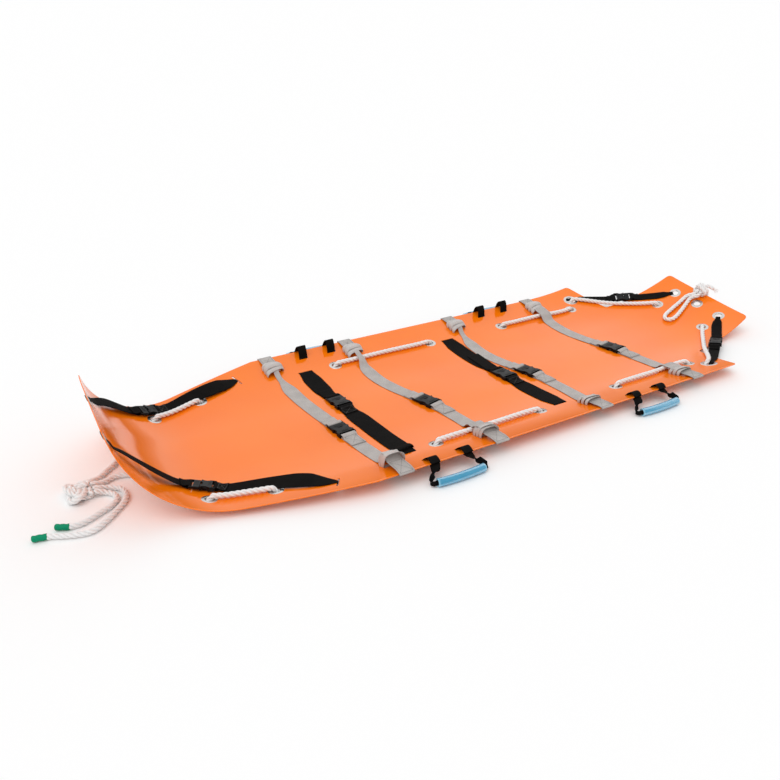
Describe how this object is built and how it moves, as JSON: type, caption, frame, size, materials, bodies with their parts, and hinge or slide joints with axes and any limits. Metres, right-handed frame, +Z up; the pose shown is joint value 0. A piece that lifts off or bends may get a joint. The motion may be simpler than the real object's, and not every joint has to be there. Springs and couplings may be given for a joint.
{
  "type": "roll-up rescue stretcher",
  "caption": "Open plastic sheet stretcher with a curled foot end, webbing straps with side-release buckles, carrying handles and rope laced through eyelets.",
  "frame": {"origin": "on the ground under the middle of the box of everything but the free rope", "axes": "+X along the sheet towards the head flap, +Y across it towards its left side, +Z up"},
  "size_m": [2.6747, 1.0212, 0.247],
  "materials": {
    "orange_sheet": "glossy",
    "gray_webbing": "woven",
    "black_webbing": "woven",
    "black_plastic": "moulded",
    "blue_grip": "soft gloss",
    "white_rope": "laid rope"
  },
  "bodies": {
    "stretcher": {"body_buckle_1_socket": "black_plastic", "body_buckle_2_socket": "black_plastic", "body_strap_1_left": "black_webbing", "body_strap_1_right": "black_webbing", "body_strap_2_left": "black_webbing", "body_strap_2_right": "black_webbing", "cross_buckle_1_socket": "black_plastic", "cross_buckle_2_socket": "black_plastic", "cross_buckle_3_socket": "black_plastic", "cross_buckle_4_socket": "black_plastic", "cross_strap_1_left": "gray_webbing", "cross_strap_1_right": "gray_webbing", "cross_strap_2_left": "gray_webbing", "cross_strap_2_right": "gray_webbing", "cross_strap_3_left": "gray_webbing", "cross_strap_3_right": "gray_webbing", "cross_strap_4_left": "gray_webbing", "cross_strap_4_right": "gray_webbing", "foot_buckle_left_socket": "black_plastic", "foot_buckle_right_socket": "black_plastic", "foot_knot": "white_rope", "foot_strap_left_lower": "black_webbing", "foot_strap_left_upper": "black_webbing", "foot_strap_right_lower": "black_webbing", "foot_strap_right_upper": "black_webbing", "handle_1_left_webbing": "black_webbing", "handle_1_right_webbing": "black_webbing", "handle_2_left_webbing": "black_webbing", "handle_2_right_webbing": "black_webbing", "head_buckle_left_socket": "black_plastic", "head_buckle_right_socket": "black_plastic", "head_knot": "white_rope", "head_loop": "white_rope", "head_strap_left_lower": "black_webbing", "head_strap_left_upper": "black_webbing", "head_strap_right_lower": "black_webbing", "head_strap_right_upper": "black_webbing", "sheet": "orange_sheet", "side_rope_left": "white_rope", "side_rope_right": "white_rope", "tail_left": "white_rope", "tail_right": "white_rope", "tow_rope_left": "white_rope", "tow_rope_right": "white_rope"},
    "body_buckle_1_plug_body": {"body_buckle_1_plug": "black_plastic"},
    "body_buckle_2_plug_body": {"body_buckle_2_plug": "black_plastic"},
    "cross_buckle_1_plug_body": {"cross_buckle_1_plug": "black_plastic"},
    "cross_buckle_2_plug_body": {"cross_buckle_2_plug": "black_plastic"},
    "cross_buckle_3_plug_body": {"cross_buckle_3_plug": "black_plastic"},
    "cross_buckle_4_plug_body": {"cross_buckle_4_plug": "black_plastic"},
    "foot_buckle_left_plug_body": {"foot_buckle_left_plug": "black_plastic"},
    "foot_buckle_right_plug_body": {"foot_buckle_right_plug": "black_plastic"},
    "head_buckle_left_plug_body": {"head_buckle_left_plug": "black_plastic"},
    "head_buckle_right_plug_body": {"head_buckle_right_plug": "black_plastic"},
    "handle_1_left_grip_body": {"handle_1_left_grip": "blue_grip"},
    "handle_1_right_grip_body": {"handle_1_right_grip": "blue_grip"},
    "handle_2_left_grip_body": {"handle_2_left_grip": "blue_grip"},
    "handle_2_right_grip_body": {"handle_2_right_grip": "blue_grip"}
  },
  "joints": [
    {"name": "body_buckle_1_release", "type": "slide", "parent": "stretcher", "child": "body_buckle_1_plug_body", "axis": [-0.0483, 0.9988, 0], "range_m": [0, 0.031], "deforming": ["body_strap_1_left"]},
    {"name": "body_buckle_2_release", "type": "slide", "parent": "stretcher", "child": "body_buckle_2_plug_body", "axis": [-0.072, 0.9974, 0], "range_m": [0, 0.031], "deforming": ["body_strap_2_left"]},
    {"name": "cross_buckle_1_release", "type": "slide", "parent": "stretcher", "child": "cross_buckle_1_plug_body", "axis": [-0.0774, 0.997, 0], "range_m": [0, 0.031], "deforming": ["cross_strap_1_left"]},
    {"name": "cross_buckle_2_release", "type": "slide", "parent": "stretcher", "child": "cross_buckle_2_plug_body", "axis": [-0.2538, 0.9673, 0], "range_m": [0, 0.031], "deforming": ["cross_strap_2_left"]},
    {"name": "cross_buckle_3_release", "type": "slide", "parent": "stretcher", "child": "cross_buckle_3_plug_body", "axis": [-0.2204, 0.9754, 0], "range_m": [0, 0.031], "deforming": ["cross_strap_3_left"]},
    {"name": "cross_buckle_4_release", "type": "slide", "parent": "stretcher", "child": "cross_buckle_4_plug_body", "axis": [-0.2112, 0.9774, 0], "range_m": [0, 0.031], "deforming": ["cross_strap_4_left"]},
    {"name": "foot_buckle_left_release", "type": "slide", "parent": "stretcher", "child": "foot_buckle_left_plug_body", "axis": [-0.9224, -0.2311, 0.3093], "range_m": [0, 0.024], "deforming": ["foot_strap_left_upper"]},
    {"name": "foot_buckle_right_release", "type": "slide", "parent": "stretcher", "child": "foot_buckle_right_plug_body", "axis": [-0.8667, 0.477, 0.146], "range_m": [0, 0.024], "deforming": ["foot_strap_right_upper"]},
    {"name": "head_buckle_left_release", "type": "slide", "parent": "stretcher", "child": "head_buckle_left_plug_body", "axis": [0.8057, -0.5814, 0.1136], "range_m": [0, 0.024], "deforming": ["head_strap_left_upper"]},
    {"name": "head_buckle_right_release", "type": "slide", "parent": "stretcher", "child": "head_buckle_right_plug_body", "axis": [0.8129, 0.5809, 0.0421], "range_m": [0, 0.024], "deforming": ["head_strap_right_upper"]},
    {"name": "handle_1_left_swing", "type": "hinge", "parent": "stretcher", "child": "handle_1_left_grip_body", "pos_m": [-0.36002, 0.44812, 0.04525], "axis": [1, 0, 0], "range_deg": [0, 190], "deforming": ["handle_1_left_webbing"]},
    {"name": "handle_1_right_swing", "type": "hinge", "parent": "stretcher", "child": "handle_1_right_grip_body", "pos_m": [-0.36002, -0.44812, 0.04525], "axis": [-1, 0, 0], "range_deg": [0, 190], "deforming": ["handle_1_right_webbing"]},
    {"name": "handle_2_left_swing", "type": "hinge", "parent": "stretcher", "child": "handle_2_left_grip_body", "pos_m": [0.42998, 0.44186, 0.04354], "axis": [1, 0, 0], "range_deg": [0, 190], "deforming": ["handle_2_left_webbing"]},
    {"name": "handle_2_right_swing", "type": "hinge", "parent": "stretcher", "child": "handle_2_right_grip_body", "pos_m": [0.42998, -0.44186, 0.04354], "axis": [-1, 0, 0], "range_deg": [0, 190], "deforming": ["handle_2_right_webbing"]}
  ]
}
